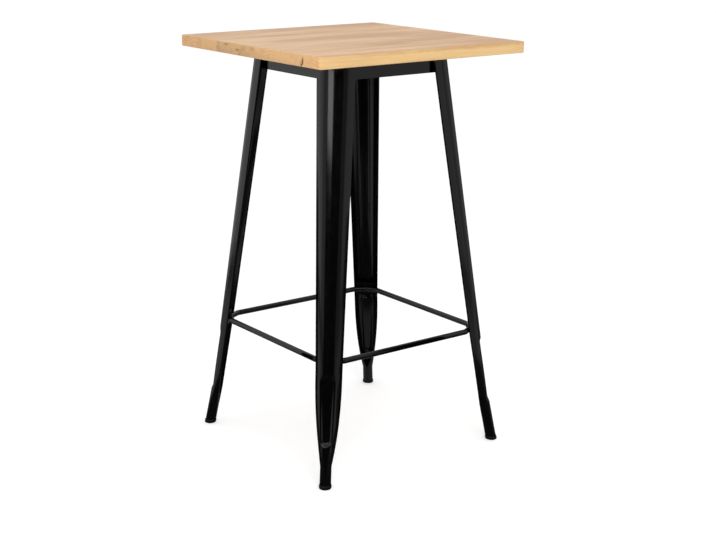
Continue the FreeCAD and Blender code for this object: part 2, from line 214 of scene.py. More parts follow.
def woodFinish(name, board):
    material, tree, place = newFinish(name)

    def noise(kind):
        return grain(tree, place, wood[kind], board["seed"])

    fibres, blotch = noise("fibreNoise"), noise("blotchNoise")
    pores = spanned(tree, noise("poreNoise"), *wood["poreSpan"])
    bands = maths(tree, "ADD", times(tree, noise("bandNoise"), wood["bandShare"]),
                  times(tree, noise("streakNoise"), wood["streakShare"]))
    pith = addNode(tree, "ShaderNodeMapping", {
        "Vector": place, "Location": (0, -board["pithY"] * mm, -board["pithZ"] * mm),
        "Scale": (wood["pithStretch"], 1, 1)})
    radius = vectorMaths(tree, "LENGTH", pith.outputs[0])["Value"]
    wander = times(tree, maths(tree, "SUBTRACT", noise("slowNoise"), 0.5), board["wander"] * mm)
    years = maths(tree, "DIVIDE", maths(tree, "ADD", radius, wander), board["ringGap"] * mm)
    ring = ramp(tree, maths(tree, "FRACT", years), wood["ringStops"])

    tones = (wood["streak"], wood["heart"], wood["sap"])
    face = ramp(tree, bands, list(zip(wood["bandStops"], tones)))
    face = blend(tree, times(tree, ring, wood["ringShare"]), face, wood["ringLine"])
    face = blend(tree, times(tree, pores, wood["poreShare"]), face, wood["pore"])
    thread = spanned(tree, fibres, *wood["fibreSpan"], *wood["fibreTone"])
    thread = addNode(tree, "ShaderNodeCombineColor", {0: thread, 1: thread, 2: thread}).outputs[0]
    face = blend(tree, 1.0, face, thread, "MULTIPLY")
    face = blend(tree, 1.0, face, board["faceTone"], "MULTIPLY")

    dots = spanned(tree, noise("dotNoise"), *wood["dotSpan"])
    butt = blend(tree, times(tree, ring, wood["endRingShare"]), wood["endGrain"], wood["endRing"])
    stained = spanned(tree, blotch, *wood["blotchSpan"], 0.0, board["blotch"])
    butt = blend(tree, stained, butt, wood["endRing"])
    butt = blend(tree, times(tree, dots, wood["dotShare"]), butt, wood["pore"])
    butt = blend(tree, 1.0, butt, board["endTone"], "MULTIPLY")

    across = addNode(tree, "ShaderNodeSeparateXYZ", {0: place}).outputs
    along, over = maths(tree, "ABSOLUTE", across[0]), maths(tree, "ABSOLUTE", across[1])
    nook = spanned(tree, maths(tree, "ADD", along, over), wood["cornerStart"], wood["cornerFull"])
    lean = spanned(tree, maths(tree, "SUBTRACT", along, over), -wood["cornerBlend"], wood["cornerBlend"])
    ends = spanned(tree, along, wood["endStart"], wood["endFull"])
    ends = maths(tree, "MAXIMUM", ends, times(tree, nook, lean))
    # The long sides get a calmer grain, then a painted light tone that makes them lighter than the top.
    sides = maths(tree, "MAXIMUM", spanned(tree, over, wood["endStart"], wood["endFull"]), nook)
    edge = blend(tree, wood["edgeCalm"], face, wood["edgeBase"])
    edge = blend(tree, 1.0, edge, wood["paintedSideLight"], "MULTIPLY")
    colour = blend(tree, ends, blend(tree, sides, face, edge), butt)

    for spot in board["spots"]:  # knots and stains
        near = vectorMaths(tree, "SUBTRACT", place, spot["at"])[0]
        near = vectorMaths(tree, "DIVIDE", near, spot["size"])[0]
        far = vectorMaths(tree, "LENGTH", near)["Value"]
        frayed = maths(tree, "ADD", far, maths(tree, "SUBTRACT", blotch, 0.5))
        covered = spanned(tree, frayed, *wood["spotSpan"], 0.0, spot["share"])
        colour = blend(tree, covered, colour, spot["colour"])

    satin = spanned(tree, fibres, *wood["fibreSpan"], *wood["satinRoughness"])
    ridges = maths(tree, "SUBTRACT", fibres, pores)
    relief = bumped(tree, ridges, wood["reliefStrength"], wood["reliefDepth"])
    endFinish(tree, colour, satin, relief, wood["sheen"])
    return material


# Gloss black powder coat with a little orange peel, dust and rubbed patches.
blackCoat = {
    "deep": (0.0007, 0.0007, 0.0008, 1.0),
    "dusty": (0.0022, 0.0021, 0.0022, 1.0),
    "roughness": (0.12, 0.22),
    "sheen": 0.34,
    "cloudNoise": ((24, 24, 9), 2, 4, 0.6),
    "dustNoise": ((90, 90, 60), 5, 5, 0.7),
    "rippleNoise": ((14, 14, 14), 8, 1, 0.5),
    "peelNoise": ((480, 480, 480), 9, 2, 0.5),
    "dustSpan": (0.45, 0.75),
    "rubbedSpan": (0.25, 0.75),
    "cloudShare": 0.7,
    "dustShare": 0.3,
    "rippleStrength": 0.35,
    "rippleDepth": 0.0005,
    "peelStrength": 0.3,
    "peelDepth": 0.00006,
}


def blackCoatFinish():
    material, tree, place = newFinish("blackCoat")
    cloud = grain(tree, place, blackCoat["cloudNoise"])
    dust = spanned(tree, grain(tree, place, blackCoat["dustNoise"]), *blackCoat["dustSpan"])
    tone = blend(tree, times(tree, dust, cloud), blackCoat["deep"], blackCoat["dusty"])
    rubbed = maths(tree, "ADD", times(tree, cloud, blackCoat["cloudShare"]),
                   times(tree, dust, blackCoat["dustShare"]))
    rough = spanned(tree, rubbed, *blackCoat["rubbedSpan"], *blackCoat["roughness"])
    ripple = grain(tree, place, blackCoat["rippleNoise"])
    peel = grain(tree, place, blackCoat["peelNoise"])
    wavy = bumped(tree, ripple, blackCoat["rippleStrength"], blackCoat["rippleDepth"])
    wavy = bumped(tree, peel, blackCoat["peelStrength"], blackCoat["peelDepth"], wavy)
    endFinish(tree, tone, rough, wavy, blackCoat["sheen"])
    return material


# Zinc on the fasteners, rubber under the feet: two drifting tones and a fine relief.
zincPlate = {
    "tones": ((0.35, (0.40, 0.41, 0.42, 1.0)), (0.6, (0.62, 0.63, 0.65, 1.0))),
    "roughness": (0.28, 0.46),
    "sheen": 0.5,
    "metallic": 1.0,
    "toneNoise": ((160, 160, 160), 3, 4, 0.6),
    "toneSpan": (0.3, 0.7),
    "reliefNoise": ((1200, 1200, 90), 4, 2, 0.5),
    "reliefStrength": 0.2,
    "reliefDepth": 0.00005,
}
rubber = {
    "tones": ((0.42, (0.0016, 0.0016, 0.0016, 1.0)), (0.72, (0.005, 0.005, 0.0046, 1.0))),
    "roughness": (0.48, 0.66),
    "sheen": 0.22,
    "metallic": 0.0,
    "toneNoise": ((140, 140, 200), 6, 5, 0.65),
    "toneSpan": (0.3, 0.7),
    "reliefNoise": ((1500, 1500, 1500), 7, 1, 0.5),
    "reliefStrength": 0.25,
    "reliefDepth": 0.0001,
}


def mottledFinish(name, look):
    material, tree, place = newFinish(name)
    drift = grain(tree, place, look["toneNoise"])
    rough = spanned(tree, drift, *look["toneSpan"], *look["roughness"])
    fine = grain(tree, place, look["reliefNoise"])
    relief = bumped(tree, fine, look["reliefStrength"], look["reliefDepth"])
    endFinish(tree, ramp(tree, drift, look["tones"]), rough, relief, look["sheen"], look["metallic"])
    return material


coatFinish = blackCoatFinish()
plateFinish = mottledFinish("zincPlate", zincPlate)
padFinish = mottledFinish("footRubber", rubber)
print("metal and rubber finishes made")


def loft(rings):  # rings of points in millimetres, all with the same count
    shape = bmesh.new()
    rows = [[shape.verts.new(Vector(point) * mm) for point in ring] for ring in rings]
    count = len(rows[0])
    for low, high in zip(rows, rows[1:]):
        for i in range(count):
            j = (i + 1) % count
            shape.faces.new((low[i], low[j], high[j], high[i]))
    shape.faces.new(rows[0][::-1])
    shape.faces.new(rows[-1])
    return shape


def meshFrom(shape, name):  # merges doubles and turns faces outwards
    bmesh.ops.remove_doubles(shape, verts=shape.verts, dist=mergeGap)
    bmesh.ops.dissolve_degenerate(shape, edges=shape.edges, dist=mergeGap)
    bmesh.ops.recalc_face_normals(shape, faces=shape.faces)
    mesh = bpy.data.meshes.new(name)
    shape.to_mesh(mesh)
    shape.free()
    return mesh


def addPiece(mesh, name, crease, finish, slot, *nodes):  # edges that turn more than the crease stay sharp
    mesh.polygons.foreach_set("use_smooth", [True] * len(mesh.polygons))
    mesh.set_sharp_from_angle(angle=math.radians(crease))
    mesh.update()
    mesh.materials.clear()
    mesh.materials.append(finish)
    piece = addObject(name, mesh)
    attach(piece, "root")
    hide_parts(*nodes)
    return piece


def stain(at, size, share, *colour):  # a knot or stain: its middle, half sizes, strength and screen colour
    middle, reach = [value * mm for value in at], [value * mm for value in size]
    return {"at": middle, "size": reach, "share": share, "colour": screenColour(*colour)}


# Four boards side by side. Outer edges are rounded, the joints keep a fine arris.
tabletop = {
    "side": 600.0,
    "thickness": 27.0,
    "underside": 993.0,
    "edgeRound": 2.5,
    "cornerRound": 10.0,
    "jointArris": 0.35,
    "roundSteps": 6,
    "cornerSteps": 9,
    "crease": 32,
    "boards": (
        {"from": -300.0, "to": -220.0, "seed": 1, "pithY": -296, "pithZ": 1050, "ringGap": 9.0,
         "wander": 14, "blotch": 0.4,
         "faceTone": (1.015, 1.015, 1.0, 1.0), "endTone": (1.02, 1.02, 1.02, 1.0),
         "spots": (stain((150, -294, 1019), (420, 34, 9), 0.75, 186, 142, 92),
                   stain((-297, -227, 996), (12, 5, 12), 0.92, 106, 70, 38),
                   stain((-297, -232, 1006), (12, 5, 12), 0.88, 116, 76, 42),
                   stain((-300, -268, 1010), (3, 4, 9), 0.5, 214, 152, 92))},
        {"from": -220.0, "to": -40.0, "seed": 12, "pithY": -118, "pithZ": 905, "ringGap": 7.0,
         "wander": 18, "blotch": 0.3,
         "faceTone": (0.965, 0.96, 0.955, 1.0), "endTone": (1.0, 1.0, 1.0, 1.0),
         "spots": (stain((-300, -72, 1014), (4, 16, 5), 0.6, 208, 148, 92),
                   stain((-300, -190, 1012), (3, 10, 8), 0.4, 206, 150, 96))},
        {"from": -40.0, "to": 130.0, "seed": 23, "pithY": 52, "pithZ": 985, "ringGap": 5.5,
         "wander": 16, "blotch": 0.75,
         "faceTone": (1.01, 1.01, 1.015, 1.0), "endTone": (0.86, 0.87, 0.88, 1.0),
         "spots": (stain((-300, 84, 1015), (4, 10, 3.5), 0.85, 132, 90, 54),
                   stain((-300, 34, 1006), (4, 12, 4), 0.8, 150, 102, 60),
                   stain((-300, 2, 1000), (4, 34, 9), 0.4, 178, 136, 92))},
        {"from": 130.0, "to": 300.0, "seed": 34, "pithY": 225, "pithZ": 945, "ringGap": 9.5,
         "wander": 14, "blotch": 0.7,
         "faceTone": (0.97, 0.965, 0.965, 1.0), "endTone": (0.93, 0.92, 0.90, 1.0),
         "spots": (stain((-300, 276, 1009), (4, 16, 8), 0.55, 202, 142, 86),)},
    ),
}
# A dry split up the end of the first board, widest low down.
drySplit = {
    "topY": -237.0,
    "bottomY": -225.0,
    "width": 3.8,
    "depth": 30.0,
    "height": 0.74,  # share of the thickness
    "steps": 9,
    "below": 2.0,
    "before": 1.0,
    "wave": 0.9,
    "waveRate": 9.0,
    "tipShare": 0.08,
    "bulgeStart": 0.3,
    "endDepthShare": 0.6,
    "slant": 1.5,
}


def roundInset(x, radius):  # how far a rounding at the board's end draws the surface in at this x
    into = max(abs(x) - tabletop["side"] / 2 + radius, 0)
    return radius - math.sqrt(max(radius * radius - into * into, 0))


def boardRing(board, x):
    inset, cornerInset = roundInset(x, tabletop["edgeRound"]), roundInset(x, tabletop["cornerRound"])
    low, high = tabletop["underside"] + inset, tabletop["underside"] + tabletop["thickness"] - inset
    points = []
    for corner in range(4):  # counted round the board's section
        right, top = corner in (1, 2), corner in (2, 3)
        edge = board["to"] if right else board["from"]
        radius = tabletop["jointArris"]
        if abs(edge) == tabletop["side"] / 2:
            radius = tabletop["edgeRound"] - inset
            edge -= math.copysign(cornerInset, edge)
        centreY = edge - radius if right else edge + radius
        centreZ = high - radius if top else low + radius
        for step in range(tabletop["roundSteps"] + 1):
            angle = math.radians(180 + 90 * corner + 90 * step / tabletop["roundSteps"])
            points.append((x, centreY + radius * math.cos(angle), centreZ + radius * math.sin(angle)))
    return points


def boardShape(board):
    half = tabletop["side"] / 2
    stations = set()
    for radius, steps in (("cornerRound", "cornerSteps"), ("edgeRound", "roundSteps")):
        for step in range(tabletop[steps] + 1):
            turn = math.radians(90 * step / tabletop[steps])
            stations.add(half - tabletop[radius] * (1 - math.sin(turn)))
    ends = sorted(stations)
    return loft([boardRing(board, x) for x in [-x for x in ends[::-1]] + ends])


def splitCutter():
    rings = []
    low = tabletop["underside"] - drySplit["below"]
    high = tabletop["underside"] + tabletop["thickness"] * drySplit["height"]
    start = -tabletop["side"] / 2 - drySplit["before"]
    for step in range(drySplit["steps"]):
        share = step / (drySplit["steps"] - 1)
        y = between(drySplit["bottomY"], drySplit["topY"], share)
        y += drySplit["wave"] * math.sin(drySplit["waveRate"] * share)
        bulge = math.sin(math.pi * between(drySplit["bulgeStart"], 1, share))
        wide = drySplit["width"] * between(drySplit["tipShare"], 1, bulge) / 2
        deep = drySplit["depth"] * between(drySplit["endDepthShare"], 1, math.sin(math.pi * share))
        z = between(low, high, share)
        root = (start + deep, y - drySplit["slant"], z)
        rings.append([(start, y - wide, z), (start, y + wide, z), root])
    return loft(rings)


def cutMesh(mesh, cutter):
    body = addObject("cutBody", mesh)
    blade = addObject("cutBlade", meshFrom(cutter, "cutBlade"))
    saw = body.modifiers.new("saw", "BOOLEAN")
    saw.operation, saw.solver, saw.object = "DIFFERENCE", "MANIFOLD", blade
    cut = bpy.data.meshes.new_from_object(body.evaluated_get(bpy.context.evaluated_depsgraph_get()))
    for item in (body, blade):
        bpy.data.objects.remove(item)
    return cut


for number, board in enumerate(tabletop["boards"], 1):
    name = "topBoard" + str(number)
    mesh = meshFrom(boardShape(board), name)
    if number == 1:
        mesh = cutMesh(mesh, splitCutter())
    finish = woodFinish(name + "Wood", board)
    addPiece(mesh, name, tabletop["crease"], finish, "wood", "top_board_" + str(number))
print("four top boards made")

# Pressed sheet leg: rounded corner on the diagonal, flanges, rolled edges, a flute and a closed tube foot.
leg = {
    "topHeight": tabletop["underside"],
    "kneeHeight": 272.0,
    "kickHeight": 100.0,
    "ankleHeight": 52.0,
    "topReach": 233.9,
    "splay": 8.25,
    "calfSplay": 9.12,
    "footSplay": 11.6,
    "sheet": 1.5,
    "topHalf": 46.3,
    "kneeHalf": 32.3,
    "topFlange": 12.4,
    "kneeFlange": 6.0,
    "rollRadius": 3.2,
    "rollTurn": 80.0,
    "tubeRadius": 13.6,
    "tubeFlat": 0.6,
    "tubeSeam": 0.9,
    "topBend": 45.0,
    "kneeBend": 57.0,
    "ankleBend": 90.0,
    "bendPower": 2.0,
    "flangePower": 0.9,
    "widthPower": 2.2,
    "turnPower": 3.0,
    "rollPower": 5.0,
    "fluteLow": 104.0,
    "fluteHigh": 268.0,
    "fluteLowHalf": 11.6,
    "fluteHighHalf": 16.4,
    "fluteDepth": 6.3,
    "fluteWall": 9.0,
    "cornerSteps": 26,
    "flangeSteps": 3,
    "rollSteps": 12,
    "ringStops": ((9.5, 6.0), (52.0, 4.0), (96.0, 1.5), (132.0, 4.0), (244.0, 1.5), (276.0, 60.0)),
    "crease": 48,
}


def slope(degrees):
    return math.tan(math.radians(degrees))


def straightReach(z):
    return leg["topReach"] + slope(leg["splay"]) * (leg["topHeight"] - z)


def legReach(z):
    calf = max(leg["kneeHeight"] - max(z, leg["kickHeight"]), 0)
    kick = max(leg["kickHeight"] - z, 0)
    reach = straightReach(max(z, leg["kneeHeight"]))
    return reach + slope(leg["calfSplay"]) * calf + slope(leg["footSplay"]) * kick


def seamTurn():
    return math.degrees(math.asin(leg["tubeSeam"] / 2 / leg["tubeRadius"]))


def legSection(z):  # corner radius, flange, roll radius, turn of the roll, turn of the corner
    roll, turn = leg["rollRadius"], leg["rollTurn"]
    if z >= leg["kneeHeight"]:
        share = (z - leg["kneeHeight"]) / (leg["topHeight"] - leg["kneeHeight"])
        bend = between(leg["kneeBend"], leg["topBend"], share)
        flange = between(leg["kneeFlange"], leg["topFlange"], share)
        wide = between(leg["kneeHalf"], leg["topHalf"], share)
    else:
        share = min((leg["kneeHeight"] - z) / (leg["kneeHeight"] - leg["ankleHeight"]), 1)
        bend = between(leg["kneeBend"], leg["ankleBend"], share ** leg["bendPower"])
        flange = between(leg["kneeFlange"], leg["tubeFlat"], share ** leg["flangePower"])
        wide = between(leg["kneeHalf"], leg["tubeRadius"], share ** leg["widthPower"])
        roll = between(roll, leg["tubeRadius"], share ** leg["rollPower"])
        turn = between(turn, 180 - bend - seamTurn(), share ** leg["turnPower"])
    lean = math.radians(bend)
    corner = roll + (wide - roll - flange * math.cos(lean)) / math.sin(lean)  # fills the width
    return corner, flange, roll, turn, bend


def flutePress(x, y, z):  # how far the flute pushes this point of the sheet in
    lowZ, highZ = leg["fluteLow"] + leg["fluteLowHalf"], leg["fluteHigh"] - leg["fluteHighHalf"]
    if z < lowZ:
        inside = leg["fluteLowHalf"] - math.hypot(y, z - lowZ)
    elif z > highZ:
        inside = leg["fluteHighHalf"] - math.hypot(y, z - highZ)
    else:
        inside = between(leg["fluteLowHalf"], leg["fluteHighHalf"], (z - lowZ) / (highZ - lowZ)) - abs(y)
    depth = max(x - straightReach(z) + leg["fluteDepth"], 0)
    return depth * softStep(-leg["fluteWall"] / 2, leg["fluteWall"] / 2, inside)


def sheetHalf(z, inset):  # from the corner's middle out along one flange to the tip of its roll
    corner, flange, roll, turn, bend = legSection(z)
    centreX = legReach(z) - corner
    points = []
    for step in range(leg["cornerSteps"] + 1):
        angle = math.radians(bend * step / leg["cornerSteps"])
        press = flutePress(centreX + corner * math.cos(angle), corner * math.sin(angle), z)
        shrink = corner - inset
        points.append((centreX + shrink * math.cos(angle) - press, shrink * math.sin(angle)))
    lean = math.radians(bend)
    startX, startY = points[-1]
    for step in range(1, leg["flangeSteps"] + 1):
        along = flange * step / leg["flangeSteps"]
        points.append((startX - along * math.sin(lean), startY + along * math.cos(lean)))
    shrink = roll - inset
    centreX = points[-1][0] - shrink * math.cos(lean)
    centreY = points[-1][1] - shrink * math.sin(lean)
    for step in range(1, leg["rollSteps"] + 1):
        angle = math.radians(bend + turn * step / leg["rollSteps"])
        points.append((centreX + shrink * math.cos(angle), centreY + shrink * math.sin(angle)))
    return [(x, y, z) for x, y in points]


def legHeights():  # a stop is a height and the step between rings from there up
    stops = leg["ringStops"]
    highs = [low for low, step in stops[1:]] + [leg["topHeight"]]
    heights = []
    for (low, step), high in zip(stops, highs):
        count = round((high - low) / step)
        heights += [between(low, high, i / count) for i in range(count)]
    return heights + [leg["topHeight"]]


def legShape(turn):
    shape = bmesh.new()
    rows = []
    for z in legHeights():
        outer, inner = sheetHalf(z, 0), sheetHalf(z, leg["sheet"])
        rim = []
        for half in (outer, inner):
            mirrored = [(x, -y, height) for x, y, height in half[:0:-1]]
            rim.append([shape.verts.new(point * mm) for point in turned(mirrored + half, turn)])
        rows.append(rim)
    count = len(rows[0][0])
    for (lowOut, lowIn), (highOut, highIn) in zip(rows, rows[1:]):
        for i in range(count - 1):
            shape.faces.new((lowOut[i], lowOut[i + 1], highOut[i + 1], highOut[i]))
            shape.faces.new((lowIn[i + 1], lowIn[i], highIn[i], highIn[i + 1]))
        shape.faces.new((lowIn[0], lowOut[0], highOut[0], highIn[0]))
        shape.faces.new((lowOut[-1], lowIn[-1], highIn[-1], highOut[-1]))
    for out, inside in (rows[0], rows[-1]):
        for i in range(count - 1):
            shape.faces.new((out[i], out[i + 1], inside[i + 1], inside[i]))
    return shape


for corner, turn in cornerTurns.items():
    name = pieceName("leg", corner)
    mesh = meshFrom(legShape(turn), name)
    addPiece(mesh, name, leg["crease"], coatFinish, "black_paint", "leg_" + corner)
print("four legs made")

# Moulded cap on each foot: a pad on the floor and a plug up the tube.
footCap = {
    "height": 9.5,
    "rim": 1.6,
    "floorInset": 2.6,
    "plug": 24.0,
    "plugClear": 0.5,
    "plugChamfer": 1.0,
    "around": 56,
    "crease": 50,
    "profile": ((0.0, 0.0), (0.06, 0.42), (0.2, 0.78), (0.4, 0.95),
                (0.55, 1.0), (0.75, 0.97), (0.9, 0.84), (1.0, 0.65)),  # shares of height and width
}


def capShape(turn):
    full = leg["tubeRadius"] + footCap["rim"]
    low = full - footCap["floorInset"]
    plug = leg["tubeRadius"] - leg["sheet"] - footCap["plugClear"]
    sizes = [(footCap["height"] * rise, between(low, full, wide)) for rise, wide in footCap["profile"]]
    top, chamfer = footCap["height"] + footCap["plug"], footCap["plugChamfer"]
    sizes += [(footCap["height"], plug), (top - chamfer, plug), (top, plug - chamfer)]
    rings = []
    for z, radius in sizes:
        centre = legReach(z) - leg["tubeRadius"] - leg["tubeFlat"] / diagonal / 2
        angles = [math.tau * i / footCap["around"] for i in range(footCap["around"])]
        ring = [(centre + radius * math.cos(a), radius * math.sin(a), z) for a in angles]
        rings.append(turned(ring, turn))
    return loft(rings)


for corner, turn in cornerTurns.items():
    name = pieceName("footCap", corner)
    mesh = meshFrom(capShape(turn), name)
    addPiece(mesh, name, footCap["crease"], padFinish, "black_rubber", "foot_cap_" + corner)
print("four foot caps made")


def newTree(name, sizes):
    tree = bpy.data.node_groups.new(name, "GeometryNodeTree")
    tree.interface.new_socket("Geometry", in_out="INPUT", socket_type="NodeSocketGeometry")
    for label in sizes:
        tree.interface.new_socket(label, in_out="INPUT", socket_type="NodeSocketFloat")
    tree.interface.new_socket("Finish", in_out="INPUT", socket_type="NodeSocketMaterial")
    tree.interface.new_socket("Geometry", in_out="OUTPUT", socket_type="NodeSocketGeometry")
    return tree, tree.nodes.new("NodeGroupInput").outputs


def endTree(tree, shape, inputs):  # every tree ends in real geometry with its finish
    real = addNode(tree, "GeometryNodeRealizeInstances", {"Geometry": shape})
    dressed = addNode(tree, "GeometryNodeSetMaterial", {
        "Geometry": real.outputs[0], "Material": inputs["Finish"]})
    addNode(tree, "NodeGroupOutput", {"Geometry": dressed.outputs[0]})
    return tree


def grow(name, seedMesh, tree, sizes, finish):
    seed = addObject(name + "Seed", seedMesh)
    growth = seed.modifiers.new("growth", "NODES")
    growth.node_group = tree
    for item in tree.interface.items_tree:
        if item.in_out == "INPUT" and item.name in sizes:
            growth[item.identifier] = sizes[item.name] * mm
        if item.in_out == "INPUT" and item.name == "Finish":
            growth[item.identifier] = finish
    mesh = bpy.data.meshes.new_from_object(seed.evaluated_get(bpy.context.evaluated_depsgraph_get()))
    mesh.name = name
    seed.modifiers.remove(growth)
    bpy.data.objects.remove(seed)
    return mesh


def pathMesh(name, points):
    edges = [(i, i + 1) for i in range(len(points) - 1)]
    return plainMesh(name, [Vector(point) * mm for point in points], edges)


# Folded rail: the outline of its outer face is rounded at the fold, drawn out along it and thickened.
rail = {
    "distance": 172.0,
    "halfLength": 146.0,
    "height": 48.0,
    "flange": 25.0,
    "foldSteps": 7,
    "edgeRound": 0.3,
    "edgeSteps": 2,
    "edgeAngle": 50,
    "crease": 32,
}
railSizes = {"Length": 2 * rail["halfLength"], "Sheet": 2.0, "Fold Radius": 3.5}


def railTree():
    tree, sizes = newTree("foldedRail", railSizes)
    fold = addNode(tree, "GeometryNodeMeshToCurve", {"Mesh": sizes["Geometry"]})
    fold = addNode(tree, "GeometryNodeFilletCurve", {
        "Curve": fold.outputs[0], "Count": rail["foldSteps"], "Radius": sizes["Fold Radius"]}, mode="POLY")
    wire = addNode(tree, "GeometryNodeCurveToMesh", {"Curve": fold.outputs[0]})
    along = addNode(tree, "ShaderNodeCombineXYZ", {"X": sizes["Length"]})
    skin = addNode(tree, "GeometryNodeExtrudeMesh", {
        "Mesh": wire.outputs[0], "Offset": along.outputs[0], "Offset Scale": 1.0}, mode="EDGES")
    thick = addNode(tree, "GeometryNodeExtrudeMesh", {
        "Mesh": skin.outputs[0], "Offset Scale": sizes["Sheet"], "Individual": False}, mode="FACES")
    back = addNode(tree, "GeometryNodeFlipFaces", {"Mesh": skin.outputs[0]})
    both = addNode(tree, "GeometryNodeJoinGeometry")
    tree.links.new(thick.outputs[0], both.inputs[0])
    tree.links.new(back.outputs[0], both.inputs[0])
    joined = addNode(tree, "GeometryNodeMergeByDistance", {
        "Geometry": both.outputs[0], "Distance": weldGap})
    return endTree(tree, joined.outputs[0], sizes)


def railOutline():
    x, y, top = -rail["halfLength"], -rail["distance"], tabletop["underside"]
    return [(x, y + rail["flange"], top), (x, y, top), (x, y, top - rail["height"])]


foldedRail = railTree()
for side, turn in sideTurns.items():
    name = pieceName("apronRail", side)
    mesh = grow(name, pathMesh(name + "Path", railOutline()), foldedRail, railSizes, coatFinish)
    mesh.transform(Matrix.Rotation(math.radians(turn), 4, "Z"))
    piece = addPiece(mesh, name, rail["crease"], coatFinish, "black_paint", "apron_rail_" + side)
    eased = piece.modifiers.new("easedEdges", "BEVEL")
    eased.width, eased.segments = rail["edgeRound"] * mm, rail["edgeSteps"]
    eased.limit_method, eased.angle_limit = "ANGLE", math.radians(rail["edgeAngle"])
print("four apron rails made")

# Footrest rod: a straight run with its ends turned in, cut to its neighbour and to the leg's plate.
rod = {
    "distance": 236.63,
    "bendStart": 188.86,
    "turn": 28.0,
    "height": 296.0,
    "plateDepth": 20.68,
    "bendSteps": 9,
    "around": 40,
    "crease": 40,
}
rodSizes = {"Rod Diameter": 14.0, "Bend Radius": 16.0}


def rodTree():
    tree, sizes = newTree("bentRod", rodSizes)
    path = addNode(tree, "GeometryNodeMeshToCurve", {"Mesh": sizes["Geometry"]})
    path = addNode(tree, "GeometryNodeFilletCurve", {
        "Curve": path.outputs[0], "Count": rod["bendSteps"], "Radius": sizes["Bend Radius"]}, mode="POLY")
    ring = addNode(tree, "GeometryNodeCurvePrimitiveCircle", {
        "Resolution": rod["around"], "Radius": times(tree, sizes["Rod Diameter"], 0.5)}, mode="RADIUS")
    tube = addNode(tree, "GeometryNodeCurveToMesh", {
        "Curve": path.outputs[0], "Profile Curve": ring.outputs[0], "Fill Caps": True})
    return endTree(tree, tube.outputs[0], sizes)


def rodPath():
    inward = (rod["distance"] - rod["bendStart"]) * slope(rod["turn"])
    end = (rod["distance"], inward - rod["distance"], rod["height"])
    bend = (rod["bendStart"], -rod["distance"], rod["height"])
    return [(-end[0], *end[1:]), (-bend[0], *bend[1:]), bend, end]


def trimmed(mesh, planes):  # each plane keeps what lies behind it
    shape = bmesh.new()
    shape.from_mesh(mesh)
    for spot, normal in planes:
        parts = shape.verts[:] + shape.edges[:] + shape.faces[:]
        cut = bmesh.ops.bisect_plane(
            shape, geom=parts, dist=weldGap, plane_co=spot, plane_no=normal, clear_outer=True)
        edges = [part for part in cut["geom_cut"] if isinstance(part, bmesh.types.BMEdge)]
        bmesh.ops.edgeloop_fill(shape, edges=edges)
    shape.to_mesh(mesh)
    shape.free()


def rodPlanes():
    reach = (straightReach(rod["height"]) - rod["plateDepth"]) * mm / diagonal
    planes = []
    for side in (-1, 1):
        planes.append((Vector((0, 0, 0)), Vector((side, 1, 0))))
        spot = Vector((side * reach, -reach, rod["height"] * mm))
        planes.append((spot, Vector((side / diagonal, -1 / diagonal, slope(leg["splay"])))))
    return planes


bentRod = rodTree()
for side, turn in sideTurns.items():
    name = pieceName("footrestRod", side)
    mesh = grow(name, pathMesh(name + "Path", rodPath()), bentRod, rodSizes, coatFinish)
    trimmed(mesh, rodPlanes())
    mesh.transform(Matrix.Rotation(math.radians(turn), 4, "Z"))
    addPiece(mesh, name, rod["crease"], coatFinish, "black_paint", "footrest_rod_" + side)
print("four footrest rods made")

for kind in ("corner_bracket_", "footrest_plate_"):  # flat sheet pieces whose solids are right as they are
    for corner in cornerTurns:
        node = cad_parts[kind + corner]
        node.data.materials.clear()
        node.data.materials.append(coatFinish)
print("brackets and plates painted")

# Fasteners sit on seats: a point and the way that the head faces.
fasteners = {
    "boltAcross": 125.35,
    "boltHeight": 970.75,
    "headSeat": -165.4,
    "washerSeat": -167.0,
    "nutSeat": -172.0,
    "screwLine": -158.5,
    "screwAcross": 119.0,
    "cornerSeat": 988.0,
    "middleSeat": 991.0,
    "cornerShank": 18.0,
    "middleShank": 15.0,
    "tipRadius": 0.5,
    "tipLap": 0.01,
    "shankLap": 0.5,
    "chamferShare": 0.475,  # radius where a hexagon's corners are turned off, over its width
    "discSides": 48,
    "boreSides": 36,
    "boltSides": 28,
    "screwSides": 24,
    "headSides": 44,
    "crownRings": 40,
    "crease": 30,
    "seed": 7,
}
boltSizes = {"Head Width": 10.0, "Head Height": 4.0, "Shank Diameter": 6.0, "Shank Length": 13.1}
washerSizes = {"Outside": 12.0, "Bore": 6.1, "Thickness": 1.6}
nutSizes = {"Nut Width": 10.0, "Nut Height": 5.0, "Bore": 6.1}
screwSizes = {
    "Head Diameter": 9.0, "Head Height": 2.6, "Crown Radius": 9.5, "Slot Width": 1.2, "Slot Length": 5.0,
    "Slot Depth": 1.3, "Shank Diameter": 4.5, "Tip Length": 5.0,
}


def seatMesh(name, seats):
    spots, ways = [], []
    for turn in sideTurns.values():
        for spot, way in seats:
            spots += turned([Vector(spot) * mm], turn)
            ways += turned([way], turn)
    mesh = plainMesh(name, spots)
    axis = mesh.attributes.new("seatAxis", "FLOAT_VECTOR", "POINT")
    axis.data.foreach_set("vector", [value for way in ways for value in way])
    return mesh


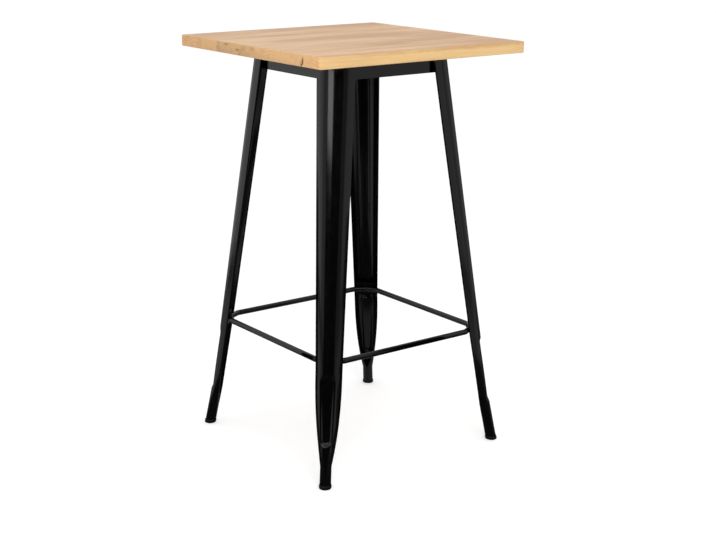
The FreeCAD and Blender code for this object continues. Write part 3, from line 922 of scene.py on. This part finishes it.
def endOnSeats(tree, shape, inputs):  # one copy on each seat, square to it and turned at random
    axis = addNode(tree, "GeometryNodeInputNamedAttribute", {"Name": "seatAxis"}, data_type="FLOAT_VECTOR")
    facing = addNode(tree, "FunctionNodeAlignRotationToVector", {"Vector": axis.outputs[0]}, axis="Z")
    angle = addNode(tree, "FunctionNodeRandomValue", {2: 0.0, 3: math.tau, "Seed": fasteners["seed"]},
                    data_type="FLOAT")
    spin = addNode(tree, "FunctionNodeAxisAngleToRotation", {"Axis": (0, 0, 1), "Angle": angle.outputs[1]})
    both = addNode(tree, "FunctionNodeRotateRotation", {
        "Rotation": facing.outputs[0], "Rotate By": spin.outputs[0]}, rotation_space="LOCAL")
    copies = addNode(tree, "GeometryNodeInstanceOnPoints", {
        "Points": inputs["Geometry"], "Instance": shape, "Rotation": both.outputs[0]})
    return endTree(tree, copies.outputs[0], inputs)


def lifted(tree, shape, height):
    up = addNode(tree, "ShaderNodeCombineXYZ", {"Z": height})
    return addNode(tree, "GeometryNodeTransform", {
        "Geometry": shape, "Translation": up.outputs[0]}).outputs[0]


def halved(tree, size):
    return times(tree, size, 0.5)


def drum(tree, sides, radius, depth, lift):  # a prism that stands on the height given by lift
    node = addNode(tree, "GeometryNodeMeshCylinder", {"Vertices": sides, "Radius": radius, "Depth": depth})
    return lifted(tree, node.outputs[0], maths(tree, "ADD", halved(tree, depth), lift))


def combined(tree, operation, first, *others):
    node = addNode(tree, "GeometryNodeMeshBoolean", operation=operation, solver="EXACT")
    for index, shape in enumerate((first,) + others):
        tree.links.new(shape, node.inputs[0 if operation == "DIFFERENCE" and index == 0 else 1])
    return node.outputs[0]


def hexDrum(tree, width, height):  # a hexagon prism with its outer corners turned off
    prism = drum(tree, 6, maths(tree, "DIVIDE", width, math.sqrt(3)), height, 0.0)
    narrow = times(tree, width, fasteners["chamferShare"])
    wide = maths(tree, "ADD", narrow, times(tree, height, math.sqrt(3)))
    cone = addNode(tree, "GeometryNodeMeshCone", {
        "Vertices": fasteners["discSides"], "Radius Top": narrow, "Radius Bottom": wide, "Depth": height})
    return combined(tree, "INTERSECT", prism, cone.outputs[0])


def bored(tree, body, diameter, depth):  # the bore runs through and well past both faces
    bore = drum(tree, fasteners["boreSides"], halved(tree, diameter), times(tree, depth, 3.0),
                times(tree, depth, -1.0))
    return combined(tree, "DIFFERENCE", body, bore)


def boltTree():
    tree, sizes = newTree("hexBolt", boltSizes)
    head = hexDrum(tree, sizes["Head Width"], sizes["Head Height"])
    sunk = times(tree, sizes["Shank Length"], -1.0)
    deep = maths(tree, "ADD", sizes["Shank Length"], halved(tree, sizes["Head Height"]))
    shank = drum(tree, fasteners["boltSides"], halved(tree, sizes["Shank Diameter"]), deep, sunk)
    return endOnSeats(tree, combined(tree, "UNION", head, shank), sizes)


def washerTree():
    tree, sizes = newTree("flatWasher", washerSizes)
    disc = drum(tree, fasteners["discSides"], halved(tree, sizes["Outside"]), sizes["Thickness"], 0.0)
    return endOnSeats(tree, bored(tree, disc, sizes["Bore"], sizes["Thickness"]), sizes)


def nutTree():
    tree, sizes = newTree("hexNut", nutSizes)
    body = hexDrum(tree, sizes["Nut Width"], sizes["Nut Height"])
    return endOnSeats(tree, bored(tree, body, sizes["Bore"], sizes["Nut Height"]), sizes)


def screwHead(tree, sizes):  # a crowned disc with a cross slot
    high = sizes["Head Height"]
    disc = drum(tree, fasteners["headSides"], halved(tree, sizes["Head Diameter"]), high, 0.0)
    ball = addNode(tree, "GeometryNodeMeshUVSphere", {
        "Segments": fasteners["headSides"], "Rings": fasteners["crownRings"],
        "Radius": sizes["Crown Radius"]})
    ball = lifted(tree, ball.outputs[0], maths(tree, "SUBTRACT", high, sizes["Crown Radius"]))
    head = combined(tree, "INTERSECT", disc, ball)
    low = maths(tree, "SUBTRACT", high, sizes["Slot Depth"])
    for wide, long in (("Slot Width", "Slot Length"), ("Slot Length", "Slot Width")):
        size = addNode(tree, "ShaderNodeCombineXYZ", {"X": sizes[wide], "Y": sizes[long], "Z": high})
        bar = addNode(tree, "GeometryNodeMeshCube", {"Size": size.outputs[0]}).outputs[0]
        bar = lifted(tree, bar, maths(tree, "ADD", low, halved(tree, high)))
        head = combined(tree, "DIFFERENCE", head, bar)
    return head


def screwTree(shankLength):
    tree, sizes = newTree("panScrew", screwSizes)
    radius = halved(tree, sizes["Shank Diameter"])
    shank = drum(tree, fasteners["screwSides"], radius, (shankLength + fasteners["shankLap"]) * mm,
                 -shankLength * mm)
    tip = addNode(tree, "GeometryNodeMeshCone", {
        "Vertices": fasteners["screwSides"], "Radius Top": radius,
        "Radius Bottom": fasteners["tipRadius"] * mm, "Depth": sizes["Tip Length"]})
    tipTop = (fasteners["tipLap"] - shankLength) * mm
    tip = lifted(tree, tip.outputs[0], maths(tree, "SUBTRACT", tipTop, sizes["Tip Length"]))
    return endOnSeats(tree, combined(tree, "UNION", screwHead(tree, sizes), shank, tip), sizes)


def boltSeats(y, way):
    return [((side * fasteners["boltAcross"], y, fasteners["boltHeight"]), way) for side in (-1, 1)]


inward, outward, down = (0, 1, 0), (0, -1, 0), (0, 0, -1)
sets = (
    ("railBolts", boltTree(), boltSizes, boltSeats(fasteners["headSeat"], inward), "rail_bolts"),
    ("railWashers", washerTree(), washerSizes, boltSeats(fasteners["washerSeat"], inward), "rail_washers"),
    ("railNuts", nutTree(), nutSizes, boltSeats(fasteners["nutSeat"], outward), "rail_nuts"),
)
for name, tree, sizes, seats, node in sets:
    mesh = grow(name, seatMesh(name + "Seats", seats), tree, sizes, plateFinish)
    addPiece(mesh, name, fasteners["crease"], plateFinish, "zinc_steel", node)

longSeats = [((side * fasteners["screwAcross"], fasteners["screwLine"], fasteners["cornerSeat"]), down)
             for side in (-1, 1)]
shortSeats = [((0, fasteners["screwLine"], fasteners["middleSeat"]), down)]
screwSets = (
    ("cornerScrews", longSeats, screwTree(fasteners["cornerShank"])),
    ("middleScrews", shortSeats, screwTree(fasteners["middleShank"])),
)
allScrews = bmesh.new()
for name, seats, tree in screwSets:
    allScrews.from_mesh(grow(name, seatMesh(name + "Seats", seats), tree, screwSizes, plateFinish))
mesh = bpy.data.meshes.new("topScrews")
allScrews.to_mesh(mesh)
allScrews.free()
addPiece(mesh, "topScrews", fasteners["crease"], plateFinish, "zinc_steel", "top_screws")
print("bolts, washers, nuts and screws made")

# Plain studio: white floor and surround, a soft lamp, cards that only reflections see.
studio = {
    "floorSize": 24.0,
    "floorColour": (0.9, 0.9, 0.9, 1.0),
    "floorLift": 0.24,
    "surround": 0.86,
    "lampPower": 52.0,
    "lampSize": 2.6,
    "lampPlace": (-1.3, -2.6, 2.6),
    "lampAim": (0.0, 0.0, 0.7),
    "cardSteps": 24,
    "floorCardLift": 0.001,
}


def seenRays(tree):  # camera, glossy and transmission rays see the white background
    path = addNode(tree, "ShaderNodeLightPath").outputs
    seen = maths(tree, "MAXIMUM", path["Is Camera Ray"], path["Is Glossy Ray"])
    return maths(tree, "MAXIMUM", seen, path["Is Transmission Ray"])


def makeFloor():
    size = studio["floorSize"] / 2
    corners = [(-size, -size, 0), (size, -size, 0), (size, size, 0), (-size, size, 0)]
    mesh = plainMesh("floor", corners, faces=[(0, 1, 2, 3)])
    floor = addObject("floor", mesh)
    material = bpy.data.materials.new("paleFloor")
    tree = emptyTree(material)
    matt = addNode(tree, "ShaderNodeBsdfDiffuse", {"Color": studio["floorColour"]})
    lift = times(tree, seenRays(tree), studio["floorLift"])
    glow = addNode(tree, "ShaderNodeEmission", {"Strength": lift})
    both = addNode(tree, "ShaderNodeAddShader", {0: matt.outputs[0], 1: glow.outputs[0]})
    addNode(tree, "ShaderNodeOutputMaterial", {"Surface": both.outputs[0]})
    mesh.materials.append(material)


def makeSurround():
    world = bpy.data.worlds.new("studio")
    bpy.context.scene.world = world
    tree = emptyTree(world)
    lit = addNode(tree, "ShaderNodeBackground", {"Color": (1, 1, 1, 1), "Strength": studio["surround"]})
    seen = addNode(tree, "ShaderNodeBackground", {"Color": (1, 1, 1, 1), "Strength": 1.0})
    both = addNode(tree, "ShaderNodeMixShader", {0: seenRays(tree), 1: lit.outputs[0], 2: seen.outputs[0]})
    addNode(tree, "ShaderNodeOutputWorld", {"Surface": both.outputs[0]})


def makeLamp():
    lamp = bpy.data.lights.new("softLamp", "AREA")
    lamp.shape, lamp.size, lamp.energy = "SQUARE", studio["lampSize"], studio["lampPower"]
    holder = addObject("softLamp", lamp)
    holder.location = studio["lampPlace"]
    aim = Vector(studio["lampAim"]) - Vector(studio["lampPlace"])
    holder.rotation_euler = aim.to_track_quat("-Z", "Y").to_euler()


# Curved cards round the table: angles from +X towards +Y, then radius and height of both rims.
# Floor cards have an inner and an outer radius.
ringCards = (
    {"name": "softBoxCard", "from": 187, "to": 214, "low": (2.4, 0.97), "high": (2.4, 2.4), "glow": 4.4},
    {"name": "leftCard", "from": 160, "to": 184, "low": (2.5, 0.0), "high": (2.5, 2.6), "glow": 0.6},
    {"name": "darkCard", "from": 184, "to": 262, "low": (2.5, 0.0), "high": (2.5, 2.6), "glow": 0.02},
    {"name": "dimCard", "from": 262, "to": 286, "low": (2.5, 0.0), "high": (2.5, 2.6), "glow": 0.25},
    {"name": "greyCard", "from": 286, "to": 318, "low": (2.5, 0.2), "high": (2.5, 2.6), "glow": 0.7},
    {"name": "rightBackCard", "from": 318, "to": 360, "low": (2.5, 0.0), "high": (2.5, 1.2), "glow": 0.4},
    {"name": "backCard", "from": 0, "to": 88, "low": (2.5, 0.0), "high": (2.5, 1.2), "glow": 0.16},
    {"name": "leftBackCard", "from": 88, "to": 120, "low": (2.5, 0.0), "high": (2.5, 1.2), "glow": 0.65},
    {"name": "lowLeftCard", "from": 120, "to": 184, "low": (2.4, 0.0), "high": (2.4, 0.14), "glow": 0.1},
    {"name": "lowRightCard", "from": 262, "to": 318, "low": (2.4, 0.0), "high": (2.4, 0.2), "glow": 0.25},
)
floorCards = (
    {"name": "middleFloorCard", "from": 130, "to": 320, "inner": 0.0, "outer": 0.65, "glow": 0.06},
    {"name": "underBackCard", "from": -40, "to": 130, "inner": 0.0, "outer": 0.65, "glow": 0.4},
    {"name": "leftFloorCard", "from": 128, "to": 184, "inner": 0.65, "outer": 2.4, "glow": 0.7},
    {"name": "leftBackFloorCard", "from": 100, "to": 128, "inner": 0.65, "outer": 2.4, "glow": 0.3},
    {"name": "nearFloorCard", "from": 184, "to": 262, "inner": 0.65, "outer": 1.1, "glow": 0.15},
    {"name": "frontFloorCard", "from": 184, "to": 262, "inner": 1.1, "outer": 2.5, "glow": 0.02},
    {"name": "rightFloorCard", "from": 262, "to": 282, "inner": 0.65, "outer": 2.4, "glow": 0.7},
    {"name": "rightNearFloorCard", "from": 282, "to": 335, "inner": 0.65, "outer": 1.5, "glow": 0.08},
    {"name": "rightFarFloorCard", "from": 282, "to": 335, "inner": 1.5, "outer": 2.4, "glow": 0.6},
    {"name": "backFloorCard", "from": -25, "to": 100, "inner": 0.65, "outer": 2.5, "glow": 0.12},
)
# Flat cards beside the front leg, which keep the rims of its flanges dark: lower and upper corners.
nearCards = (
    {"name": "leftNearCard", "low": ((-0.276, -0.165), (-0.340, -0.165)),
     "high": ((-0.194, -0.055), (-0.215, -0.055)), "height": 0.93, "glow": 0.01},
    {"name": "rightNearCard", "low": ((0.12, -0.25), (0.12, -0.49)),
     "high": ((0.12, -0.25), (0.12, -0.49)), "height": 0.6, "glow": 0.01},
)


def makeCard(name, points, faces, strength):
    mesh = plainMesh(name, points, faces=faces)
    piece = addObject(name, mesh)
    material = bpy.data.materials.new(name)
    tree = emptyTree(material)
    glow = addNode(tree, "ShaderNodeEmission", {"Color": (1, 1, 1, 1), "Strength": strength})
    addNode(tree, "ShaderNodeOutputMaterial", {"Surface": glow.outputs[0]})
    mesh.materials.append(material)
    piece.visible_camera = piece.visible_diffuse = piece.visible_shadow = False
    piece.visible_transmission = piece.visible_volume_scatter = False


def makeRingCard(card, low, high):
    steps = studio["cardSteps"]
    points = []
    for step in range(steps + 1):
        angle = math.radians(between(card["from"], card["to"], step / steps))
        for radius, z in (low, high):
            points.append((radius * math.cos(angle), radius * math.sin(angle), z))
    faces = [(2 * i, 2 * i + 2, 2 * i + 3, 2 * i + 1) for i in range(steps)]
    makeCard(card["name"], points, faces, card["glow"])


def makeNearCard(card):
    points = [(*spot, 0.0) for spot in card["low"]] + [(*spot, card["height"]) for spot in card["high"]]
    makeCard(card["name"], points, [(0, 1, 3, 2)], card["glow"])


makeFloor()
makeSurround()
makeLamp()
for card in ringCards:
    makeRingCard(card, card["low"], card["high"])
for card in floorCards:
    makeRingCard(card, (card["inner"], studio["floorCardLift"]), (card["outer"], studio["floorCardLift"]))
for card in nearCards:
    makeNearCard(card)
print("studio made")

view = {
    "place": (-2.004, -2.712, 1.361),
    "target": (0.0178, -0.0133, 0.435),
    "roll": 0.3,
    "lens": 69.16,
    "sensor": 36.0,
}
lens = bpy.data.cameras.new("camera")
lens.lens, lens.sensor_width, lens.sensor_fit = view["lens"], view["sensor"], "HORIZONTAL"
camera = addObject("camera", lens)
look = (Vector(view["target"]) - Vector(view["place"])).to_track_quat("-Z", "Y").to_matrix().to_4x4()
roll = Matrix.Rotation(math.radians(view["roll"]), 4, "Z")
camera.matrix_world = Matrix.Translation(view["place"]) @ look @ roll
bpy.context.scene.camera = camera
bpy.context.scene.view_settings.view_transform = "Standard"
print("camera set")
